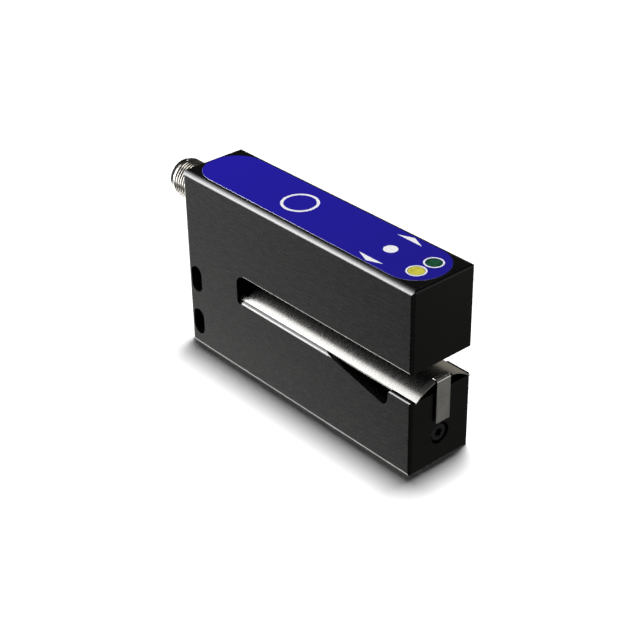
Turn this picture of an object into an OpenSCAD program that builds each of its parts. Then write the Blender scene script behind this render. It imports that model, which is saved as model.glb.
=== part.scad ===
// Fork sensor for labels on a web.
// The origin is the centre of the underside, +X points out of the fork's open end, +Z up, millimetres.

/* [Body] */
// Length of the body from its rear face to its front end faces
body_len = 95; // [92:0.5:110]
// Width of the body
body_w = 22.2; // [22:0.2:28]
// Height of the body
body_h = 57; // [55:0.2:70]
// Radius on the long top edges of the body
edge_r = 1.5; // [0.8:0.1:1.5]
// Radius on the body's upright edges, its end edges at the top and the lower jaw's top edges
end_r = 0.9; // [0.4:0.1:0.9]

/* [Fork slot] */
// Depth of the slot from the front end
slot_depth = 71.9; // [68:0.1:74]
// Height of the slot between the jaws
slot_gap = 8.5; // [7.5:0.1:12]
// Distance of the slot's centre line below the middle of the body's height
slot_low = 0.6; // [0:0.05:1]
// Radius in the upper inner corner of the slot
slot_r = 3.1; // [1:0.1:3.6]
// Radius on the lower edges of the upper jaw and of the body
lip_r = 0.4; // [0.2:0.1:0.8]
// Radius of the relief groove in the lower inner corner of the slot
groove_r = 1.1; // [0.8:0.1:1.5]
// Radius on the end corner of the land in front of the pocket
land_r = 0.7; // [0.3:0.1:1]

/* [Wedge pocket] */
// Distance from the front end to the pocket's steep wall
pocket_front = 8.4; // [6:0.1:10]
// Length of the pocket along the top of the lower jaw
pocket_len = 25.2; // [22:0.1:28]
// Slope of the pocket's long floor in degrees
pocket_slope = 13.5; // [9:0.5:15]
// Slope of the pocket's steep wall in degrees
pocket_wall = 80; // [65:1:88]
// Radius in the pocket's deepest corner
pocket_r = 2; // [1:0.1:2.5]

/* [Mounting slots] */
// Width of a mounting slot
mount_w = 4.9; // [4.3:0.1:5.2]
// Length of a mounting slot from end to end
mount_len = 8.5; // [7:0.1:10]
// Distance from the rear face to the slots' centre line
mount_edge = 3.75; // [3.6:0.05:5]
// Height of the lower slot's centre
mount_low_z = 7.7; // [7:0.1:9]
// Distance between the slots' centres
mount_pitch = 14.7; // [13:0.1:18]

/* [Guide strip] */
// Sheet thickness of the strip
strip_t = 0.35; // [0.25:0.05:0.5]
// Width of the strip across the jaw
strip_w = 20; // [17:0.1:20]
// Radius of the strip's arch, on its outer side
strip_r = 15.3; // [13.5:0.1:18]
// Depth of the seat that the strip's edges stand in
seat_depth = 0.55; // [0.4:0.05:0.8]
// Length by which the strip stands out past the front end
strip_over = 0.77; // [0.7:0.01:1.5]
// Gap between the rear wall of the slot and the strip's rear edge
strip_back = 2.3; // [1.5:0.1:4]
// Width of a finger at the strip's rear corners
finger_w = 1.2; // [0.8:0.1:2]
// Width of the tab at the strip's front end
tab_w = 5; // [4:0.1:6]
// Distance from the tab's tip to the lock screw's counterbore
tab_gap = 1.3; // [0.5:0.05:3]
// Inner radius of the tab's bend
tab_bend_r = 0.45; // [0.3:0.05:0.6]
// Width of the relief notches beside the tab
notch_w = 0.6; // [0.4:0.1:1]
// Radius of the beam hole in the crown
beam_hole_r = 1.5; // [1:0.1:2]

/* [Sensing axis] */
// Distance from the front end to the sensing axis
sense_front = 19.8; // [19:0.1:21]
// Radius of the beam hole in the upper jaw
beam_bore_r = 2; // [1.5:0.1:2.4]
// Radius of the receiver window
window_r = 3.4; // [3:0.1:3.8]
// Thickness of the receiver window
window_t = 1.5; // [1:0.1:2]
// Wall left below the receiver window
window_lip = 1; // [0.8:0.1:1.5]
// Radius of the emitter barrel
barrel_r = 4.5; // [4.2:0.1:4.8]
// Height of the emitter barrel
barrel_len = 13.5; // [13.3:0.1:14]
// Wall left below the emitter barrel
barrel_floor = 5.5; // [4.5:0.1:5.6]
// Outer radius of the emitter lens
lens_r = 2.9; // [2.5:0.1:3.2]
// Radius of the infrared emitter's bulb
bulb_r = 1.5; // [1.4:0.05:1.6]

/* [Lock screw] */
// Thread radius of the lock screw
lock_r = 1.5; // [1.25:0.25:2]
// Length of the lock screw under its head
lock_len = 12; // [10:0.5:12.5]
// Radius of the lock screw's head
lock_head_r = 2.75; // [2.5:0.05:3]
// Height of the lock screw's head
lock_head_h = 2.8; // [2.4:0.1:3]
// Radius of the counterbore round the head
lock_sink_r = 3.25; // [3.1:0.05:3.5]
// Height of the screw's axis, which is also that of the wire channel
lock_z = 9; // [9:0.1:10.5]
// Radius of the drilled wire channel
channel_r = 1.25; // [1.2:0.05:1.45]
// Distance from the rear face to the upright wire bore
riser_x = 15.5; // [12:0.1:18]
// Radius of the upright wire bore
riser_r = 1.8; // [1.6:0.1:2.4]

/* [Top cover] */
// Distance from the keypad foil to the front and rear faces
foil_end = 1.1; // [1.1:0.1:3]
// Distance from the keypad foil to the side faces
foil_side = 1.7; // [1.7:0.05:1.85]
// Corner radius of the keypad foil
foil_r = 9.2; // [6.5:0.1:9.3]
// Thickness of the keypad foil
foil_t = 0.7; // [0.5:0.05:1]
// Depth of the recess for the keypad foil
foil_sink = 0.6; // [0.4:0.05:0.9]
// Thickness of the cover plate
cover_t = 1.5; // [1.3:0.1:2]
// Width of the step between the foil's recess and the cover plate's
cover_step = 0.5; // [0.4:0.1:1]
// Thickness of the cover gasket
gasket_t = 0.3; // [0.2:0.05:0.5]
// Width of the ledge that carries the gasket along the sides
ledge_w = 1.1; // [0.8:0.1:1.4]
// Distance from the rear face to the set key's centre
key_rear = 39.1; // [34:0.1:45]
// Radius of the snap dome
dome_r = 4.2; // [3.5:0.1:4.5]
// Height of the snap dome
dome_h = 0.5; // [0.4:0.05:0.6]
// Distance from the front end to the light guides
guide_front = 7.1; // [6.9:0.1:9]
// Distance between the two light guides
guide_pitch = 6.3; // [5.8:0.1:7]
// Radius of a light guide
guide_r = 2.2; // [1.8:0.1:2.3]
// Width of a light guide's foot outside its shaft
guide_foot = 0.4; // [0.3:0.1:0.5]

/* [Cavity] */
// Wall behind the cavity, which holds the connector's thread
rear_wall = 6.5; // [6:0.1:8]
// Wall in front of the cavity
front_wall = 4; // [3.8:0.1:4.2]
// Wall between the cavity and the fork slot
floor_t = 3.5; // [3.3:0.1:4.5]
// Corner radius of the cavity
cavity_r = 5; // [4.5:0.1:6]

/* [Boards] */
// Thickness of the circuit boards
board_t = 1.6; // [1:0.1:1.6]
// Clearance round the circuit boards
board_clear = 0.3; // [0.2:0.05:0.5]
// Free length behind the circuit boards for the connector's rear end
board_rear = 1.4; // [1.3:0.1:3]
// Distance from the connector's axis down to the top of the main board
main_drop = 3.1; // [2.9:0.1:4]
// Outer radius of the spacers
spacer_r = 2; // [1.8:0.1:2.2]
// Thread radius of the board screws
screw_r = 1; // [0.8:0.1:1.1]
// Head radius of the board screws
screw_head_r = 1.9; // [1.7:0.1:2]
// Head height of the board screws
screw_head_h = 0.9; // [0.6:0.1:1]
// Depth of the board screws' threads in the cavity's floor
screw_bite = 2.3; // [1.8:0.1:2.5]
// Distance from the spacers to the cavity's side walls
spacer_gap = 0.4; // [0.2:0.05:0.8]
// Distance from the cavity's rear wall to the rear board screws
screw_rear = 5; // [4.8:0.1:6]
// Distance from the cavity's front wall to the front board screws
screw_front = 12; // [11:0.1:12.5]
// Side of the square microcontroller
mcu_side = 7; // [5:0.5:8]
// Side of a square header pin
pin_side = 0.64; // [0.5:0.02:0.8]
// Pitch of the header pins
pin_pitch = 2.54; // [2:0.01:2.54]
// Height of an indicator diode
led_h = 0.6; // [0.4:0.05:0.8]

/* [Connector] */
// Height of the connector's axis below the top face
conn_drop = 10.5; // [10.3:0.1:11.5]
// Outer radius of the connector's thread
conn_r = 6; // [5.8:0.05:6]
// Length of the connector outside the body
conn_len = 14.5; // [13:0.1:18]
// Radius of the collar at the connector's free end
collar_r = 5.3; // [5:0.05:5.5]
// Length of the collar at the connector's free end
collar_len = 1.3; // [0.8:0.1:2]
// Width across the flats of the connector's hexagon
hex_af = 14; // [13.6:0.1:14.4]
// Thickness of the connector's hexagon
hex_t = 3; // [2:0.1:3.5]
// Length of the undercut behind the connector's thread
undercut_len = 1.2; // [0.8:0.1:2]
// Inner radius of the connector's mating cavity
socket_r = 4.3; // [4.1:0.05:4.5]
// Depth of the connector's mating cavity
socket_depth = 9.5; // [8:0.1:10]
// Radius of the insert behind the mating cavity
insert_r = 4.8; // [4.6:0.05:5]
// Length of the insert behind the rear wall
insert_boss = 1; // [0.5:0.1:1.1]
// Radius of a contact pin
contact_r = 0.5; // [0.4:0.05:0.55]
// Radius of the circle that the contact pins stand on
contact_circle = 2.7; // [2.4:0.05:2.9]
// Recess of the contact pins' tips below the connector's rim
contact_recess = 1.8; // [1:0.1:3]
// Thickness of the connector's O-ring
oring_t = 0.9; // [0.7:0.05:1]
// Radius of a wire
wire_r = 0.45; // [0.3:0.05:0.5]

/* [Hidden] */
$fn = 64;

// Radial clearance of a piece in its hole
fit = 0.02;
// Clearance round the foil and the cover plate in their recesses
sink_clear = 0.1;
// Clearance of the guide strip's edges in their seat
seat_clear = 0.1;
// Extra length of a cutting shape past the faces that it opens
eps = 1;

x_rear = -body_len / 2;
x_front = body_len / 2;
slot_x = x_front - slot_depth;
jaw_low_h = body_h / 2 - slot_low - slot_gap / 2;
slot_top = jaw_low_h + slot_gap;
seat_z = jaw_low_h - seat_depth;
sense_x = x_front - sense_front;
conn_z = body_h - conn_drop;

groove_x = slot_x + groove_r;

pocket_x1 = x_front - pocket_front;
pocket_x0 = pocket_x1 - pocket_len;
pocket_tip = 180 - pocket_slope - pocket_wall;
pocket_edge = pocket_len * sin(pocket_wall) / sin(pocket_tip);
pocket_tangent = pocket_r / tan(pocket_tip / 2);

foil_len = body_len - 2 * foil_end;
foil_w = body_w - 2 * foil_side;
foil_z = body_h - foil_sink;
foil_top = foil_z + foil_t;
cover_len = foil_len - 2 * cover_step;
cover_w = foil_w - 2 * cover_step;
cover_r = foil_r - cover_step;
cover_z = foil_z - cover_t;
ledge_z = cover_z - gasket_t;
key_x = x_rear + key_rear;
guide_x = x_front - guide_front;
guide_foot_r = guide_r + guide_foot;
guide_foot_t = 0.5;
dome_pocket = dome_h + 0.2;
dome_pocket_r = dome_r + 0.4;
circuit_t = 0.15;
circuit_z = foil_z - dome_pocket;
tail_w = 3;
circuit_r = dome_r + 0.1;
tail_x = key_x + circuit_r - circuit_t;

cavity_x0 = x_rear + rear_wall;
cavity_x1 = x_front - front_wall;
cavity_w = cover_w - 2 * ledge_w;
floor_z = slot_top + floor_t;

board_x0 = cavity_x0 + board_rear;
board_x1 = cavity_x1 - board_clear;
board_w = cavity_w - 2 * board_clear;
board_r = cavity_r - board_clear;
main_top = conn_z - main_drop;
main_z = main_top - board_t;
display_top = cover_z - guide_foot_t - led_h;
display_z = display_top - board_t;
screw_x0 = cavity_x0 + screw_rear;
screw_x1 = cavity_x1 - screw_front;
screw_pitch = cavity_w - 2 * (spacer_r + spacer_gap);
screw_spots = [for (x = [screw_x0, screw_x1], s = [-1, 1]) [x, s * screw_pitch / 2]];

strip_half = strip_w / 2;
strip_gap = 0.03;
arch_in_r = strip_r - strip_t;
arch_z = seat_z + strip_gap - sqrt(arch_in_r * arch_in_r - strip_half * strip_half);
crown_z = arch_z + strip_r;
strip_x0 = slot_x + strip_back;
strip_x1 = x_front + strip_over;
tab_out_r = tab_bend_r + strip_t;
tab_len = crown_z - lock_z - lock_sink_r - tab_gap;
tab_reach = 0.18;
tab_face = strip_x1 + tab_reach;
notch_depth = 0.8;

barrel_z = barrel_floor;
barrel_top = barrel_z + barrel_len;
lens_t = 1;
lens_sink = 1.6;
lens_ledge = barrel_top - lens_sink;
chamber_r = 2.2;
emitter_drop = 5.8;
emitter_z = lens_ledge - emitter_drop;
emitter_foot_t = 1;
emitter_foot_r = bulb_r + 0.4;
bulb_h = 2.8;
lead_gap = 0.55;
lead_r = wire_r;
lead_bend = 0.9;
groove_h = 1.3;
groove_depth = 0.9;
groove_drop = 3;
groove_z = lens_ledge - groove_drop;
barrel_oring_r = (groove_depth - 2 * fit) / 2;

lock_seat_x = sense_x + barrel_r + fit + lock_len;
riser_pos = x_rear + riser_x;

hex_r = hex_af / 2 / cos(30);
conn_thread_z0 = hex_t + undercut_len;
conn_thread_z1 = conn_len - collar_len;
insert_face = conn_len - socket_depth;
contact_x = contact_circle * cos(45);
contact_tail = 1.4;
contact_rear = -rear_wall - insert_boss - contact_tail;
wire_bend = 0.9;
wire_run = 1.5;
wire_stagger = 1.4;

window_z = slot_top + window_lip;
tube_z = window_z + window_t;
tube_r = window_r - fit;
tube_bore_r = 2.5;

header_count = 6;
header_back = 17;
header_edge = 2.3;
header_x = sense_x - header_back;
header_y = -cavity_w / 2 + header_edge;
header_h = 2.5;

// Places of the parts on the main board, in front of the rear board screws
transistor_step = 4.6;
transistor_x = screw_x0 + transistor_step;
transistor_in = 0.6;
transistor_y = screw_pitch / 2 - transistor_in;
regulator_step = 9;
regulator_x = screw_x0 + regulator_step;
cans_step = 15;
cans_x = screw_x0 + cans_step;
chip_row_step = 20;
chip_row_x = screw_x0 + chip_row_step;
chip_row_in = 1.2;
chip_row_y = board_w / 2 - chip_row_in;

// Places of the parts beside the header and the sensing axis
chips_y = 1.8;
mcu_back = 3;
mcu_x = header_x - mcu_back;
crystal_gap = 2.6;
crystal_x = header_x + mcu_side / 2 + crystal_gap;
amplifier_back = 6;
amplifier_x = sense_x - amplifier_back;

// Packages of the parts on the main board
chip_lift = 0.05;
leg_w = 0.35;
leg_t = 0.2;
leg_reach = 0.8;
mcu_h = 1.4;
mcu_pitch = 0.8;
amplifier_len = 5;
amplifier_w = 3.9;
amplifier_h = 1.5;
amplifier_pitch = 1.27;
regulator_len = 4.5;
regulator_w = 2.5;
regulator_h = 1.5;
regulator_pitch = 1.5;
transistor_len = 2.9;
transistor_w = 1.4;
transistor_h = 1.1;
transistor_pitch = 1.9;
crystal_len = 3.2;
crystal_w = 2.5;
crystal_h = 1.2;
crystal_r = 0.4;
can_r = 2.4;
can_h = 5;
can_gap = 1;
can_base_h = 0.8;
can_margin = 0.2;
can_base_w = 2 * (can_r + can_margin);
can_base_r = 0.5;
chip_len = 1.6;
chip_w = 0.8;
chip_h = 0.7;
chip_pitch = 1.6;

module rounded_rect(len, wid, r) {
    square([len - 2 * r, wid], center = true);
    square([len, wid - 2 * r], center = true);
    for (sx = [-1, 1], sy = [-1, 1])
        translate([sx * (len / 2 - r), sy * (wid / 2 - r)])
            circle(r);
}

module plate(x0, x1, wid, r, z, t) {
    translate([(x0 + x1) / 2, 0, z])
        linear_extrude(t)
            rounded_rect(x1 - x0, wid, r);
}

module along_y(wid) {
    translate([0, wid / 2, 0])
        rotate([90, 0, 0])
            linear_extrude(wid)
                children();
}

module along_x(x0, x1) {
    translate([x0, 0, 0])
        rotate([90, 0, 90])
            linear_extrude(x1 - x0)
                children();
}

module rod_x(x0, x1, z, r) {
    translate([x0, 0, z])
        rotate([0, 90, 0])
            cylinder(h = x1 - x0, r = r);
}

module disc(z0, z1, r) {
    translate([0, 0, z0])
        cylinder(h = z1 - z0, r = r);
}

module ring_tube(z0, z1, r_out, r_in) {
    difference() {
        disc(z0, z1, r_out);
        disc(z0 - eps, z1 + eps, r_in);
    }
}

// The wedge pocket in the lower jaw, seen along the width
module wedge_outline() {
    d1 = [cos(pocket_slope), -sin(pocket_slope)];
    d2 = [-cos(pocket_wall), -sin(pocket_wall)];
    start = [pocket_x0, jaw_low_h];
    end = [pocket_x1, jaw_low_h];
    tip = start + d1 * pocket_edge;
    t1 = tip - d1 * pocket_tangent;
    t2 = tip - d2 * pocket_tangent;
    centre = t1 + pocket_r * [sin(pocket_slope), cos(pocket_slope)];
    polygon([start, t1, centre, t2, end, end + [0, eps], start + [0, eps]]);
    translate(centre)
        circle(pocket_r);
}

// The fork slot and its relief groove, seen along the width
module slot_outline() {
    mid_z = slot_top - slot_r;
    translate([slot_x + slot_r, jaw_low_h])
        square([slot_depth, slot_gap]);
    translate([slot_x, jaw_low_h])
        square([slot_depth, slot_gap - slot_r]);
    translate([slot_x + slot_r, mid_z])
        circle(slot_r);
    translate([groove_x, jaw_low_h])
        circle(groove_r);
}

module land_corner() {
    translate([pocket_x1, jaw_low_h])
        difference() {
            translate([-eps, -land_r])
                square([eps + land_r, land_r + eps]);
            translate([land_r, -land_r])
                circle(land_r);
            translate([land_r, -land_r - eps])
                square([land_r, land_r + eps]);
        }
}

module mount_outline(z) {
    reach = (mount_len - mount_w) / 2;
    translate([x_rear + mount_edge, z]) {
        square([mount_w, 2 * reach], center = true);
        for (s = [-1, 1])
            translate([0, s * reach])
                circle(mount_w / 2);
    }
}

// A rectangle between two heights, with one radius on its lower and one on its upper corners
module section(wid, z0, z1, r_low, r_high) {
    w = wid / 2;
    translate([-w, z0 + r_low])
        square([wid, z1 - z0 - r_low - r_high]);
    translate([-w + r_low, z0])
        square([wid - 2 * r_low, r_low]);
    translate([-w + r_high, z1 - r_high])
        square([wid - 2 * r_high, r_high]);
    for (s = [-1, 1]) {
        translate([s * (w - r_low), z0 + r_low])
            circle(r_low);
        translate([s * (w - r_high), z1 - r_high])
            circle(r_high);
    }
}

module side_profile() {
    difference() {
        section(body_len, 0, body_h, lip_r, end_r);
        slot_outline();
        wedge_outline();
        land_corner();
        mount_outline(mount_low_z);
        mount_outline(mount_low_z + mount_pitch);
    }
}

module body_block() {
    corner_x = slot_x + slot_r;
    intersection() {
        along_y(body_w)
            side_profile();
        plate(x_rear, x_front, body_w, end_r, 0, body_h);
        union() {
            along_x(x_rear, groove_x)
                section(body_w, 0, body_h, lip_r, edge_r);
            along_x(x_rear, corner_x)
                section(body_w, slot_top - slot_r, body_h, lip_r, edge_r);
            along_x(slot_x, x_front)
                section(body_w, slot_top, body_h, lip_r, edge_r);
            along_x(slot_x, x_front)
                section(body_w, 0, jaw_low_h, lip_r, end_r);
        }
    }
}

module housing() {
    color([0.09, 0.09, 0.09])
        difference() {
            body_block();
            // Seat of the guide strip
            translate([groove_x, -strip_half - seat_clear, seat_z])
                cube([slot_depth, strip_w + 2 * seat_clear, seat_depth + eps]);
            // Recess of the foil, recess of the cover plate, and the cavity
            plate(-foil_len / 2 - sink_clear, foil_len / 2 + sink_clear, foil_w + 2 * sink_clear,
                  foil_r + sink_clear, foil_z, foil_sink + eps);
            plate(-cover_len / 2 - sink_clear, cover_len / 2 + sink_clear, cover_w + 2 * sink_clear,
                  cover_r + sink_clear, ledge_z, cover_t + gasket_t + eps);
            plate(cavity_x0, cavity_x1, cavity_w, cavity_r, floor_z, ledge_z - floor_z + eps);
            // Threads of the board screws
            for (p = screw_spots)
                translate([p.x, p.y, floor_z - screw_bite])
                    cylinder(h = screw_bite + eps, r = screw_r + fit);
            // Receiver window's step and the beam hole
            translate([sense_x, 0, 0]) {
                disc(slot_top - eps, floor_z, beam_bore_r);
                disc(window_z, floor_z + eps, window_r);
                // Seat of the emitter barrel
                disc(barrel_z, jaw_low_h + eps, barrel_r + fit);
            }
            // Wire channel, the lock screw's thread and its counterbore
            rod_x(riser_pos, sense_x, lock_z, channel_r);
            rod_x(sense_x, x_front, lock_z, lock_r + fit);
            rod_x(lock_seat_x, x_front + eps, lock_z, lock_sink_r);
            translate([riser_pos, 0, 0])
                disc(lock_z - channel_r, floor_z + eps, riser_r);
            // Connector's thread and the seat of its O-ring
            rod_x(x_rear - eps, cavity_x0 + eps, conn_z, conn_r + fit);
            rod_x(x_rear - eps, x_rear + oring_t, conn_z, conn_r + oring_t + 2 * fit);
        }
}

module cover_gasket() {
    color([0.12, 0.12, 0.12])
        difference() {
            plate(-cover_len / 2, cover_len / 2, cover_w, cover_r, ledge_z, gasket_t);
            plate(cavity_x0, cavity_x1, cavity_w, cavity_r, ledge_z - eps, gasket_t + 2 * eps);
        }
}

module at_guides() {
    for (s = [-1, 1])
        translate([guide_x, s * guide_pitch / 2, 0])
            children();
}

module cover_plate() {
    color([0.3, 0.3, 0.31])
        difference() {
            plate(-cover_len / 2, cover_len / 2, cover_w, cover_r, cover_z, cover_t);
            at_guides()
                disc(cover_z - eps, foil_z + eps, guide_r + fit);
            translate([key_x, 0, 0])
                disc(circuit_z, foil_z + eps, dome_pocket_r);
            translate([tail_x - fit, -tail_w / 2 - fit, cover_z - eps])
                cube([circuit_t + 2 * fit, tail_w + 2 * fit, circuit_z - cover_z + 2 * eps]);
        }
}

module keypad_foil() {
    color([0.15, 0.1, 0.6])
        difference() {
            plate(-foil_len / 2, foil_len / 2, foil_w, foil_r, foil_z, foil_t);
            at_guides()
                disc(foil_z - eps, foil_top + eps, guide_r + fit);
        }
}

module snap_dome() {
    dome_t = 0.12;
    arc_r = (dome_r * dome_r + dome_h * dome_h) / (2 * dome_h);
    color("silver")
        translate([key_x, 0, circuit_z + circuit_t])
            rotate_extrude()
                intersection() {
                    square([dome_r, dome_h]);
                    translate([0, dome_h - arc_r])
                        difference() {
                            circle(arc_r, $fn = 360);
                            circle(arc_r - dome_t, $fn = 360);
                        }
                }
}

module key_circuit() {
    color([0.75, 0.5, 0.15]) {
        translate([key_x, 0, 0])
            disc(circuit_z, circuit_z + circuit_t, circuit_r);
        translate([key_x, -tail_w / 2, circuit_z])
            cube([tail_x - key_x + circuit_t, tail_w, circuit_t]);
        translate([tail_x, -tail_w / 2, display_top])
            cube([circuit_t, tail_w, circuit_z + circuit_t - display_top]);
    }
}

module light_guide(side) {
    translate([guide_x, side * guide_pitch / 2, 0]) {
        disc(cover_z - guide_foot_t, foil_top, guide_r);
        disc(cover_z - guide_foot_t, cover_z, guide_foot_r);
    }
}

module green_light_guide() {
    color([0.08, 0.35, 0.2])
        light_guide(1);
}

module yellow_light_guide() {
    color([0.9, 0.85, 0.2])
        light_guide(-1);
}

module arch_section() {
    intersection() {
        translate([0, arch_z])
            difference() {
                circle(strip_r, $fn = 180);
                circle(arch_in_r, $fn = 180);
            }
        translate([-strip_half, arch_z])
            square([strip_w, strip_r + eps]);
    }
}

// The tab's bend and leg, seen along the width
module tab_profile() {
    cx = tab_face - tab_out_r;
    cz = crown_z - tab_out_r;
    difference() {
        union() {
            translate([cx, cz])
                circle(tab_out_r);
            translate([cx, crown_z - tab_len])
                square([tab_out_r, tab_len - tab_out_r]);
            translate([strip_x1 - notch_depth - tab_out_r, cz])
                square([cx - strip_x1 + notch_depth + tab_out_r, tab_out_r]);
        }
        translate([cx, cz])
            circle(tab_bend_r);
        translate([cx, crown_z - tab_len - eps])
            square([tab_bend_r, tab_len + eps - tab_out_r]);
        translate([strip_x1 - notch_depth - tab_out_r - eps, cz - eps])
            square([cx - strip_x1 + notch_depth + tab_out_r + eps, tab_bend_r + eps]);
    }
}

module guide_strip() {
    color([0.75, 0.75, 0.73]) {
        difference() {
            along_x(slot_x + seat_clear, strip_x1)
                arch_section();
            // Rear edge between the two fingers
            translate([slot_x - eps, -strip_half + finger_w, seat_z - eps])
                cube([strip_x0 - slot_x + eps, strip_w - 2 * finger_w, crown_z]);
            // Relief notches beside the tab
            for (s = [-1, 1])
                translate([strip_x1 - notch_depth, s * (tab_w + notch_w) / 2 - notch_w / 2, arch_z])
                    cube([notch_depth + eps, notch_w, strip_r + eps]);
            // The strip's front edge behind the tab's bend
            translate([tab_face - tab_out_r, -tab_w / 2 - eps / 2, arch_z])
                cube([tab_out_r + eps, tab_w + eps, strip_r + eps]);
            // Beam hole
            translate([sense_x, 0, 0])
                disc(arch_z, crown_z + eps, beam_hole_r);
        }
        along_y(tab_w)
            tab_profile();
    }
}

// Six-lobed drive socket, seen along the screw
module drive_outline(r) {
    circle(r * 0.72);
    for (a = [0 : 60 : 300])
        rotate(a)
            translate([r * 0.72, 0])
                circle(r * 0.28);
}

module lock_screw() {
    head_x = lock_seat_x + lock_head_h;
    chamfer = 0.3;
    socket_h = 1.6;
    drive_r = 1.4;
    color([0.07, 0.07, 0.07])
        difference() {
            union() {
                rod_x(lock_seat_x - lock_len, lock_seat_x + lock_head_h / 2, lock_z, lock_r);
                translate([0, 0, lock_z])
                    rotate([90, 0, 90])
                        translate([0, 0, lock_seat_x])
                            rotate_extrude()
                                polygon([[0, 0], [lock_head_r, 0], [lock_head_r, lock_head_h - chamfer],
                                         [lock_head_r - chamfer, lock_head_h], [0, lock_head_h]]);
            }
            translate([head_x - socket_h, 0, lock_z])
                rotate([90, 0, 90])
                    linear_extrude(socket_h + eps)
                        drive_outline(drive_r);
        }
}

module receiver_window() {
    color([0.6, 0.2, 0.25, 0.6])
        translate([sense_x, 0, 0]) {
            disc(window_z, tube_z, window_r - fit);
            disc(slot_top + 0.1, window_z + window_t / 2, beam_bore_r - fit);
        }
}

module receiver_tube() {
    color([0.06, 0.06, 0.06])
        translate([sense_x, 0, 0])
            ring_tube(tube_z, main_z, tube_r, tube_bore_r);
}

module photodiode() {
    base_h = 1.2;
    lens_h = 0.6;
    color([0.1, 0.1, 0.13])
        translate([sense_x, 0, 0]) {
            disc(main_z - base_h, main_z, tube_bore_r - 0.2);
            disc(main_z - base_h - lens_h, main_z - base_h / 2, bulb_r);
        }
}

module emitter_barrel() {
    color([0.08, 0.08, 0.08])
        translate([sense_x, 0, 0])
            difference() {
                disc(barrel_z, barrel_top, barrel_r);
                disc(lens_ledge, barrel_top + eps, lens_r + fit);
                disc(barrel_z - eps, emitter_z + emitter_foot_t, chamber_r);
                disc(barrel_z, lens_ledge + eps, bulb_r + fit);
                translate([0, 0, groove_z])
                    ring_tube(0, groove_h, barrel_r + eps, barrel_r - groove_depth);
                rod_x(-barrel_r - eps, 0, lock_z, channel_r);
            }
}

module barrel_oring() {
    color([0.05, 0.05, 0.05])
        translate([sense_x, 0, groove_z + groove_h / 2])
            rotate_extrude()
                translate([barrel_r - groove_depth / 2, 0])
                    circle(barrel_oring_r);
}

module emitter_lens() {
    cap_h = 0.5;
    ball_r = (lens_r * lens_r + cap_h * cap_h) / (2 * cap_h);
    color([0.8, 0.85, 0.9, 0.5])
        translate([sense_x, 0, 0]) {
            disc(lens_ledge, lens_ledge + lens_t, lens_r);
            intersection() {
                disc(lens_ledge + lens_t / 2, barrel_top, lens_r);
                translate([0, 0, lens_ledge + lens_t + cap_h - ball_r])
                    sphere(ball_r);
            }
        }
}

module infrared_emitter() {
    bulb_z = emitter_z + emitter_foot_t + bulb_h;
    color([0.2, 0.15, 0.3, 0.8])
        translate([sense_x, 0, 0]) {
            disc(emitter_z, emitter_z + emitter_foot_t, emitter_foot_r);
            disc(emitter_z, bulb_z, bulb_r);
            translate([0, 0, bulb_z])
                sphere(bulb_r);
        }
}

// Quarter bend of a wire in the XZ plane: it leaves the origin along +X and turns up
module bend_up(bend, r) {
    translate([0, 0, bend])
        rotate([90, 0, 0])
            rotate([0, 0, -90])
                rotate_extrude(angle = 90)
                    translate([bend, 0])
                        circle(r, $fn = 32);
}

module emitter_leads() {
    color([0.7, 0.2, 0.15])
        for (s = [-1, 1])
            translate([0, s * lead_gap, 0]) {
                translate([sense_x, 0, 0])
                    disc(lock_z + lead_bend, emitter_z, lead_r);
                translate([sense_x - lead_bend, 0, lock_z])
                    bend_up(lead_bend, lead_r);
                rod_x(riser_pos + lead_bend, sense_x - lead_bend, lock_z, lead_r);
                translate([riser_pos + lead_bend, 0, lock_z])
                    mirror([1, 0, 0])
                        bend_up(lead_bend, lead_r);
                translate([riser_pos, 0, 0])
                    disc(lock_z + lead_bend, main_z, lead_r);
            }
}

// Local frame of the connector: +Z points out of the rear face along the connector's axis
module on_connector() {
    translate([x_rear, 0, conn_z])
        rotate([0, -90, 0])
            children();
}

module at_contacts() {
    for (sx = [-1, 1], sy = [-1, 1])
        translate([sx * contact_x, sy * contact_x, 0])
            children();
}

module connector_shell() {
    chamfer = 0.5;
    hex_chamfer = 1;
    color([0.78, 0.76, 0.72])
        on_connector()
            difference() {
                union() {
                    disc(-rear_wall, hex_t / 2, conn_r);
                    intersection() {
                        translate([0, 0, fit])
                            cylinder(h = hex_t - fit, r = hex_r, $fn = 6);
                        rotate_extrude()
                            polygon([[0, 0], [hex_af / 2, 0], [hex_r, hex_chamfer],
                                     [hex_r, hex_t - hex_chamfer],
                                     [hex_af / 2, hex_t], [0, hex_t]]);
                    }
                    disc(hex_t / 2, conn_len, collar_r);
                    rotate_extrude()
                        polygon([[0, conn_thread_z0], [conn_r - chamfer, conn_thread_z0],
                                 [conn_r, conn_thread_z0 + chamfer], [conn_r, conn_thread_z1 - chamfer],
                                 [conn_r - chamfer, conn_thread_z1], [0, conn_thread_z1]]);
                }
                disc(-rear_wall - eps, insert_face, insert_r + fit);
                disc(-rear_wall, conn_len + eps, socket_r);
            }
}

module connector_insert() {
    rib_w = 1.2;
    rib_h = 0.7;
    boss_step = 0.8;
    color([0.06, 0.06, 0.06])
        on_connector()
            difference() {
                union() {
                    disc(-rear_wall, insert_face, insert_r);
                    disc(-rear_wall - insert_boss, 0, insert_r - boss_step);
                    intersection() {
                        translate([socket_r - rib_h, -rib_w / 2, 0])
                            cube([rib_h, rib_w, conn_len - 2 * contact_recess]);
                        disc(0, conn_len, socket_r - fit);
                    }
                }
                at_contacts()
                    disc(-rear_wall - insert_boss - eps, conn_len, contact_r + fit);
            }
}

module contact_pins() {
    tip = conn_len - contact_recess - contact_r;
    color([0.85, 0.68, 0.3])
        on_connector()
            at_contacts() {
                disc(contact_rear, tip, contact_r);
                translate([0, 0, tip])
                    sphere(contact_r, $fn = 32);
            }
}

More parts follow.
